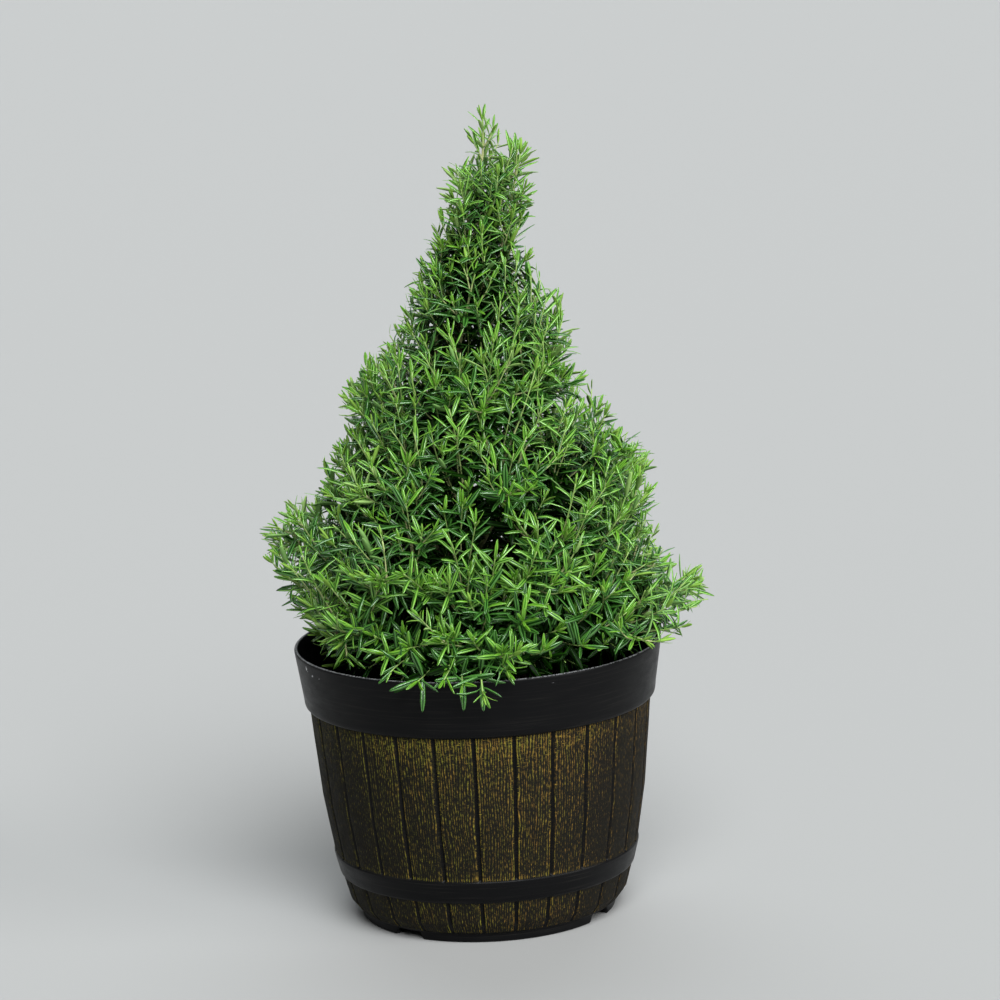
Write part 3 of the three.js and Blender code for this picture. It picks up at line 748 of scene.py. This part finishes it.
# Height, and how far the crown reaches left and right of the planter's axis there
LEFT_REACH = [
    (200, 225, 252, 268, 302, 319, 335, 345, 355, 367, 393, 412, 442, 462, 491, 511, 541, 570, 600, 632,
     640, 679),
    (112, 136, 144, 165, 169, 182, 184, 176, 156, 132, 128, 108, 112, 98, 80, 58, 46, 34, 24, 26, 6, 0),
]
RIGHT_REACH = [
    (200, 225, 241, 251, 260, 274, 289, 298, 306, 328, 368, 393, 407, 442, 462, 491, 511, 541, 570, 600,
     629, 651, 661, 679),
    (92, 150, 174, 204, 207, 201, 198, 174, 160, 160, 160, 162, 134, 114, 98, 102, 88, 86, 58, 66, 73,
     68, 48, 30),
]
DROOP_REACH = 190
RIM_CLEAR = 3.5
LOWEST_FOLIAGE = 205
LIFT_OVER_RIM = 8
LIFT_PAST_RIM = 38
HOLLOW_DEPTH = 22
HOLLOW_SIZE = 34
# Place from left to right, and the share of their depth that the hollows have there
HOLLOW_SHARE = [(-130, -60, 30, 60, 130), (0.3, 0.45, 0.8, 1, 1.9)]
PALE_GREEN = (0.24, 0.38, 0.09, 1)
TAN = (0.44, 0.45, 0.21, 1)
BROWN = (0.13, 0.1, 0.06, 1)


def crown_reach(points):
    """How far the crown reaches from its axis towards each point: the photograph's left and right
    reach at that height, mixed by the direction, further where it hangs over the front of the rim,
    less hollows of smooth noise that are deepest on the right."""
    x, y, z = np.moveaxis(points, -1, 0)
    axis_x = crown_axis(z)[..., 0]
    to_right = 0.5 + 0.5 * (x - axis_x) / np.maximum(from_axis(points), 1e-6)
    left = np.interp(z, *LEFT_REACH) + axis_x
    right = np.interp(z, *RIGHT_REACH) - axis_x
    reach = left + (right - left) * to_right
    in_front = np.clip(-y / 150, 0, 1) ** 2 * (1 - step_up(236, 262, z))
    hollow = HOLLOW_DEPTH * np.clip(smooth_noise(points / HOLLOW_SIZE, 4), 0, 1)
    hollow = hollow * step_up(250, 280, z) * np.interp(x, *HOLLOW_SHARE)
    return reach + in_front * np.clip(DROOP_REACH - reach, 0, None) - hollow


def is_free(points, slack=0.0):
    """Whether each point is inside the crown's reach, less the slack, and clear of the pots: above
    the rim, past it, or inside the mouth above the nursery pot. The right side keeps higher."""
    x, y, z = np.moveaxis(points, -1, 0)
    in_crown = from_axis(points) < crown_reach(points) - slack
    from_middle = np.hypot(x, y)
    lifted = step_up(30, 60, x)
    over_rim = z > PLANTER_HEIGHT + RIM_CLEAR + LIFT_OVER_RIM * lifted
    past_rim = (from_middle > RIM_RADIUS + RIM_CLEAR) & (z > LOWEST_FOLIAGE + LIFT_PAST_RIM * lifted)
    in_mouth = (z > NURSERY_TOP + RIM_CLEAR) & (from_middle < RIM_RADIUS - 8)
    return in_crown & (over_rim | past_rim | in_mouth) & (z < LEADER_TIP[2] - slack)


def cut_back(curves, slack, shortest):
    """The curves up to where they leave the free space, without those left shorter than this.
    A quadratic curve's first part has the same root, a bend that far along to its old bend, and
    the point of the cut for its tip."""
    steps = np.linspace(0, 1, 21)
    free = is_free(bezier(curves, steps[None]), slack)
    free[:, :3] = True
    last = np.argmin(np.concatenate([free, np.zeros((len(curves), 1), bool)], axis=1), axis=1) - 1
    share = steps[last][:, None]
    tip = bezier(curves, share)[:, 0]
    bend = curves[:, 0] + (curves[:, 1] - curves[:, 0]) * share
    cut = np.stack([curves[:, 0], bend, tip], axis=1)
    keep = np.linalg.norm(tip - curves[:, 0], axis=1) > shortest
    return cut[keep], keep


def sprout(parents, random, spacing, first, length, rise):
    """Shoots that fan out round their parent curves. Each leaves its parent at a golden angle from
    the last, heading 0.6 along it, 0.8 outwards from it and 0.2 up, then bends towards the light.
    Those that start towards the crown's inside stay shorter. Chance shifts every bend a little."""
    run = np.linalg.norm(np.diff(parents, axis=1), axis=-1).sum(axis=1)
    count = np.maximum(np.round(run * (1 - first) / spacing).astype(int), 1)
    parent = np.repeat(np.arange(len(parents)), count)
    order = np.arange(len(parent)) - np.repeat(np.cumsum(count) - count, count)
    share = first + (0.98 - first) * (order + random.uniform(0.2, 0.8, len(parent))) / count[parent]
    root, tangent, side, over = frames_at(parents[parent], share)
    turn = (order * GOLDEN_ANGLE + np.radians(40) * random.uniform(-0.5, 0.5, len(parent)))[:, None]
    heading = unit(0.6 * tangent + 0.8 * (side * np.cos(turn) + over * np.sin(turn)) + 0.2 * UP)
    away = unit(root - crown_axis(root[:, 2]) + [1e-3, 0, 0])
    inwards = np.clip(-dot(heading, away), 0, 1)
    aim = unit(heading * (1 - rise) + rise * (UP + 0.45 * away))
    size = length[parent][:, None] * random.uniform(0.7, 1.2, (len(parent), 1)) * (1 - 0.45 * inwards)
    bend = root + heading * size * 0.45
    tip = bend + aim * size * 0.55
    bend = bend + random.normal(0, 0.08, bend.shape) * size
    return np.stack([root, bend, tip], axis=1), parent


def crown_targets(random):
    """Places spread evenly just inside the crown's outline: each is a golden angle on from the
    last, and their heights follow the outline's area, so that wide parts get more of them."""
    height = np.linspace(218, 628, 300)
    ring = crown_reach(crown_axis(height) + [0, -1, 0]) + 14
    area = np.cumsum(ring) / ring.sum()
    order = np.arange(FILLERS)
    level = np.interp((order + 0.5) / FILLERS, area, height) + random.uniform(-8, 8, FILLERS)
    away = outward(order * GOLDEN_ANGLE)
    reach = crown_reach(crown_axis(level) + away)
    inset = 7 + 0.2 * reach * random.uniform(0, 1, FILLERS) ** 2
    return crown_axis(level) + away * np.maximum(reach - inset, 4)[:, None], away


def fill_crown(parents, tips, random):
    """Shoots to the targets that no shoot's tip is near, and to the places in front of the rim.
    Each starts from the parents' point that is nearest to a spot below the target and further in,
    and arrives heading up high in the crown, outwards low in it and down over the rim."""
    targets, away = crown_targets(random)
    gap = np.linalg.norm(targets[:, None] - tips[None], axis=-1).min(axis=1)
    empty = gap > np.interp(targets[:, 2], *FILLER_APART)
    turn, radius, height = DROOPS.T[..., None]
    over_rim = outward(np.radians(turn[:, 0]))
    targets = np.concatenate([targets[empty], over_rim * radius + height * UP])
    away = np.concatenate([away[empty], over_rim])
    spots = bezier(parents, np.linspace(0.05, 0.97, 14)[None]).reshape(-1, 3)
    rise = np.interp(targets[:, 2], *FILLER_RISE)[:, None]
    aim = unit(away + rise * UP)
    spot = targets - FILLER_LENGTH * unit(away + np.maximum(rise, 0.2) * UP)
    root = spots[np.argmin(np.linalg.norm(spot[:, None] - spots[None], axis=-1), axis=1)]
    length = np.linalg.norm(targets - root, axis=1, keepdims=True)
    bend = targets - aim * length * 0.5 + random.normal(0, 0.09, targets.shape) * length
    keep = (length[:, 0] > FILLER_SHORTEST) & (length[:, 0] < FILLER_LONGEST)
    return np.stack([root, bend, targets], axis=1)[keep]


random = np.random.default_rng(41)
stems, _ = cut_back(stems, slack=9, shortest=0)
first_shoots, parent = sprout(stems, random, spacing=13, first=0.1, length=shoot_lengths * 1.3, rise=0.6)
first_shoots, kept = cut_back(first_shoots, slack=11, shortest=16)
side_lengths = shoot_lengths[parent[kept]] * 0.72
side_shoots, _ = sprout(first_shoots, random, spacing=26, first=0.25, length=side_lengths, rise=0.6)
side_shoots, _ = cut_back(side_shoots, slack=11, shortest=14)
inner_shoots, _ = sprout(trunk_curve, random, spacing=3.6, first=0.05, length=np.array([96]), rise=0.5)
inner_shoots, _ = cut_back(inner_shoots, slack=11, shortest=16)
side_shoots = np.concatenate([side_shoots, inner_shoots])
parents = np.concatenate([stems, first_shoots])
grown_tips = np.concatenate([parents, side_shoots])[:, -1]
fillers, _ = cut_back(fill_crown(parents, grown_tips, random), slack=0, shortest=18)


def shoot_tubes(name, curves, rings, sides, thick, thin, age):
    """Tapering round shoots along the curves, marked with the age of their wood: the given one at
    the root, and none at the tip."""
    share = np.linspace(0, 0.99, rings)[None]
    to_go = 1 - share[..., None]
    mesh = closed_tubes(name, limb_rings(curves, share, thin + (thick - thin) * to_go ** 2.4, sides))
    own_age = age * (0.6 + 0.8 * (np.arange(len(curves)) * 0.618 % 1))[:, None, None]
    mark(mesh, "age", np.broadcast_to(own_age * to_go ** 1.4, (len(curves), rings, sides)))
    return mesh


def shoot_finish():
    """Young bark: pale green at the tips, through tan to brown in the older wood, mottled along
    the shoot by noise."""
    material = surface("shoot_bark", Roughness=0.55)
    mottle = between(object_noise(material, (240, 240, 70)), 0.3, 0.7)
    age = plus(attribute_of(material, "age"), times(mottle, 0.3))
    young = blend(between(age, 0.1, 0.6), PALE_GREEN, TAN)
    feed(material, "Base Color", blend(between(age, 0.7, 1.2), young, BROWN))
    relief(material, object_noise(material, (900, 900, 300)), 0.0004)
    return material


foliage_nodes = [f"foliage_{name}" for name in names]
shoot_bark = shoot_finish()
for name, slot, curves, *sizes in [
    ("woody_stems", "bark", stems, 22, 9, BOUGH_TIP_RADIUS, STEM_TIP_RADIUS, 1.2),
    ("first_shoots", "foliage", first_shoots, 12, 6, 1.1, 0.5, 0.7),
    ("outer_shoots", "foliage", fillers, 12, 6, 1.1, 0.5, 0.7),
    ("side_shoots", "foliage", side_shoots, 9, 5, 0.85, 0.45, 0.6),
]:
    dress(shoot_tubes(name, curves, *sizes), slot, foliage_nodes, shoot_bark)


# Needles: stiff narrow leaves in pairs, each pair a quarter turn from the last. They stand close and
# upright at a shoot's tip and open out below it. The glossy upper face is furrowed down its middle,
# the edges roll under, and the underside is pale and matt.
LEAF_RINGS = np.array([0.05, 0.3, 0.68, 0.93])
LEAF_WIDTHS = np.array([0.4, 0.94, 1.0, 0.5])
LEAF_SECTION = np.array([[1, -0.14], [0.3, 0.15], [0, 0.0], [-0.3, 0.15], [-1, -0.14], [0, -0.26]])
# What each of the section's six sides is: 0 for blade, 1 for furrow and 2 for underside
LEAF_PARTS = np.array([0, 1, 1, 0, 2, 2])
PAIR_GAPS = np.concatenate([[1.0, 2.0, 3.0, 4.2, 5.4], np.full(30, 6.8)])
BARE_FOOT = 0.12
# Tables by the distance from the shoot's tip: a leaf's lean, its length and how far it bends
LEAN_BY_TIP = [(0, 3, 8, 18, 45), (0.3, 0.5, 0.72, 0.95, 1.1)]
LENGTH_BY_TIP = [(0, 3, 8, 18, 45), (8, 12, 17, 20.5, 22)]
BEND_BY_TIP = [(0, 10, 60), (0, 0.4, 0.6)]
LONGER_BY_HEIGHT = [(240, 330, 480, 600), (1.23, 1.17, 1.12, 1.15)]
LONGEST_LEAF = 29.5
HALF_WIDTH_BY_LENGTH = [(7, 12, 20, 29), (0.65, 1.02, 1.7, 2.2)]
LEAVES_TO_A_PIECE = 4100
# Added to a leaf's depth in the crown by height, for darker leaves low down and brighter ones on
# top: painted shade near the rim and around 520 mm, and painted light on the free-standing top
SHADE_BY_HEIGHT = [(240, 265, 390, 520, 590, 640), (25, 0, 0, 8, 0, -32)]
# Leaves deeper than this are this much broader, so that fewer gaps show between them
BROAD_DEPTH = 45
BROADER = 1.2
YOUNG_TIP = 7
BRIGHT_SHARE = 0.55
LEADER_MOOD = 0.3
# Gloss of the shaded tint's blades, kept low as part of its painted shade
SHADED_GLOSS = 0.15
# Colours of each tint's blade, furrow and underside. The second tint is a lit copy, painted light
# for leaves near the crown's outline, and the last a shaded copy, painted shade for leaves deep in
# the crown; each furrow's darker colour is painted shade in the groove
TINTS = {
    "young": [(0.16, 0.37, 0.03), (0.05, 0.18, 0.01), (0.22, 0.4, 0.06)],
    "outer_lit": [(0.175, 0.4, 0.05), (0.018, 0.083, 0.005), (0.28, 0.45, 0.13)],
    "green": [(0.055, 0.185, 0.025), (0.006, 0.037, 0.003), (0.19, 0.36, 0.1)],
    "inner_shaded": [(0.007, 0.034, 0.002), (0.0025, 0.012, 0.0006), (0.028, 0.07, 0.008)],
}


def join_leaves(groups):
    """All the groups' leaves as one."""
    return SimpleNamespace(**{
        key: np.concatenate([getattr(group, key) for group in groups]) for key in vars(groups[0])
    })


def grow_leaves(curves, random, vigour):
    """Leaf pairs on the shoots, counted down from the tip to the bare foot. A leaf leans from its
    shoot by an angle that opens with the distance from the tip, grows longer the same way, and
    bends away from the shoot. Its upper face looks up along the shoot."""
    run = np.linalg.norm(np.diff(curves, axis=1), axis=-1).sum(axis=1)
    from_tip = np.cumsum(PAIR_GAPS) * random.uniform(0.85, 1.15, (len(curves), 1))
    shoot, pair = np.nonzero(from_tip < (run * (1 - BARE_FOOT))[:, None])
    from_tip = from_tip[shoot, pair]
    point, heading, side, over = frames_at(curves[shoot], 1 - from_tip / run[shoot])
    phase = random.uniform(0, 2 * np.pi, len(curves))[shoot]
    own_vigour = vigour * random.uniform(0.86, 1.14, len(curves))[shoot]
    leaves = []
    for half in (0, math.pi):
        count = len(shoot)
        turn = (phase + pair * math.pi / 2 + half + random.normal(0, 0.22, count))[:, None]
        lean = np.interp(from_tip, *LEAN_BY_TIP) + random.normal(0, 0.16, count)
        spoke = side * np.cos(turn) + over * np.sin(turn)
        ahead = unit(heading * np.cos(lean)[:, None] + spoke * np.sin(lean)[:, None] + 0.12 * UP)
        face = unit(heading - ahead * dot(heading, ahead))
        twist = random.normal(0, 0.3, (count, 1))
        face = face * np.cos(twist) + np.cross(ahead, face) * np.sin(twist)
        length = np.interp(from_tip, *LENGTH_BY_TIP) * own_vigour * random.uniform(0.75, 1.25, count)
        length = np.minimum(length * np.interp(point[:, 2], *LONGER_BY_HEIGHT), LONGEST_LEAF)
        bend = np.interp(from_tip, *BEND_BY_TIP) + random.normal(0, 0.4, count)
        width = np.interp(length, *HALF_WIDTH_BY_LENGTH) * random.uniform(0.85, 1.15, count)
        leaves.append(SimpleNamespace(
            root=point, ahead=ahead, face=face, length=length, bend=bend, width=width,
            shoot=shoot, from_tip=from_tip,
        ))
    return join_leaves(leaves)


def leaf_points(leaf, share):
    """Centre line and upper direction at shares of the leaf's length. The line turns evenly from
    the leaf's heading away from its face, so it runs along an arc of a circle."""
    angle = leaf.bend[:, None] * share
    ahead = (share * np.sinc(angle / np.pi))[..., None]
    aside = (share * angle / 2 * np.sinc(angle / (2 * np.pi)) ** 2)[..., None]
    size = leaf.length[:, None, None]
    line = leaf.root[:, None] + size * (leaf.ahead[:, None] * ahead - leaf.face[:, None] * aside)
    face = leaf.face[:, None] * np.cos(angle)[..., None] + leaf.ahead[:, None] * np.sin(angle)[..., None]
    return line, face


def pick(leaf, chosen):
    """The chosen leaves only."""
    return SimpleNamespace(**{key: values[chosen] for key, values in vars(leaf).items()})


def leaf_mesh(name, leaf):
    """Closed blades: the section's six points are set across the curved centre line at four
    shares of the length, and a root and a tip point close them."""
    line, face = leaf_points(leaf, LEAF_RINGS)
    across = np.cross(leaf.face, leaf.ahead)[:, None, None]
    size = (leaf.width[:, None] * LEAF_WIDTHS)[..., None, None]
    rings = line[:, :, None] + size * (
        across * LEAF_SECTION[:, :1] + face[:, :, None] * LEAF_SECTION[:, 1:]
    )
    tip, _ = leaf_points(leaf, np.array([1.0]))
    mesh = closed_tubes(name, rings, leaf.root, tip[:, 0])
    material_index = np.tile(LEAF_PARTS, len(leaf.length) * (len(LEAF_RINGS) + 1))
    mesh.polygons.foreach_set("material_index", material_index.astype(np.int32))
    return mesh


def leaf_finish(name, colour, roughness, gloss):
    """Waxy leaf skin of one plain colour, with a fine grain in its relief."""
    material = surface(name, Base_Color=(*colour, 1), Roughness=roughness, Specular_IOR_Level=gloss)
    relief(material, object_noise(material, (1400, 1400, 1400), detail=2), 0.0003, 0.5)
    return material


leaf_sets, shoots = [], 0
for curves, vigour in [(stems, 1.05), (first_shoots, 1.0), (side_shoots, 0.9), (fillers, 1.0)]:
    leaf_sets.append(grow_leaves(curves, random, vigour))
    leaf_sets[-1].shoot += shoots
    shoots += len(curves)
leaf = join_leaves(leaf_sets)
reach = crown_reach(leaf.root)
leaf.depth = (reach - from_axis(leaf.root)) / np.clip(reach / 90, 0.6, 1)
# The height term is painted shade near the rim and painted light on top
leaf.depth += np.interp(leaf.root[:, 2], *SHADE_BY_HEIGHT)
leaf.width = leaf.width * np.where(leaf.depth > BROAD_DEPTH, BROADER, 1)
tips, _ = leaf_points(leaf, np.array([0.6, 1.0]))
leaf = pick(leaf, is_free(tips[:, 0]) & is_free(tips[:, 1], -2))

# Every shoot has a mood by chance, which decides how bright its leaves are and how deep the bright
# and the dark ones reach. Leaves near the crown's outline take the lit tint and those deep inside
# it the shaded one: painted light and painted shade. The pairs at a shoot's tip are young.
mood = random.uniform(0, 1, shoots)
mood[len(stems) - 1] = LEADER_MOOD
mood = mood[leaf.shoot]
# Painted light and shade: the lit tint near the crown's outline, the shaded tint deep inside
lit_outer = (mood < BRIGHT_SHARE) & (leaf.depth < 30 + 20 * mood)
inner = leaf.depth > 50 + 14 * mood
tint = np.select([inner, leaf.from_tip < YOUNG_TIP, lit_outer], [3, 0, 1], 2)
for index, (name, colours) in enumerate(TINTS.items()):
    finishes = [
        leaf_finish(f"{name}_blade", colours[0], 0.27, SHADED_GLOSS if name == "inner_shaded" else 1.0),
        # Painted shade in the groove: the furrow is darker and less glossy than the blade
        leaf_finish(f"{name}_shaded_furrow", colours[1], 0.4, 0.12),
        leaf_finish(f"{name}_under", colours[2], 0.65, 0.2),
    ]
    members = np.nonzero(tint == index)[0]
    for number, start in enumerate(range(0, len(members), LEAVES_TO_A_PIECE), 1):
        own_leaves = pick(leaf, members[start:start + LEAVES_TO_A_PIECE])
        dress(leaf_mesh(f"needles_{name}_{number}", own_leaves), "foliage", foliage_nodes, *finishes)


# Studio: a plain grey floor under a dim pale sky, and three lamps as broad as bright cloud: a strong
# one high in front, one high behind that draws the sheen of the leaves, and a low one on the right.
bpy.context.scene.view_settings.view_transform = "Standard"
world = bpy.data.worlds.new("studio")
bpy.context.scene.world = world
world.use_nodes = True
background = world.node_tree.nodes["Background"]
background.inputs["Color"].default_value = (0.88, 0.94, 0.92, 1)
background.inputs["Strength"].default_value = 0.11

FLOOR_HALF = 60000
floor_corners = FLOOR_HALF * np.array([[-1.0, -1, 0], [1, -1, 0], [1, 1, 0], [-1, 1, 0]])
floor = add_object("floor", mesh_of("floor", floor_corners, np.array([[0, 1, 2, 3]])))
floor.data.materials.append(surface("floor", Base_Color=(0.34, 0.337, 0.33, 1), Roughness=0.8))


def soft_sun(name, spread, energy, colour, tilt, turn):
    """Lamp as large as this angle of the sky, tilted from straight overhead towards the front and
    then turned about the upright axis, all in degrees."""
    lamp = add_object(name, bpy.data.lights.new(name, "SUN"))
    lamp.data.angle = math.radians(spread)
    lamp.data.energy = energy
    lamp.data.color = colour
    lamp.rotation_euler = (math.radians(tilt), 0, math.radians(turn))


soft_sun("key", 40, 5.05, (0.95, 0.98, 1), 45, 14)
soft_sun("back", 60, 1.45, (0.9, 0.96, 1), -42, 0)
soft_sun("side", 30, 1.5, (1, 1, 1), 71.6, 64.6)
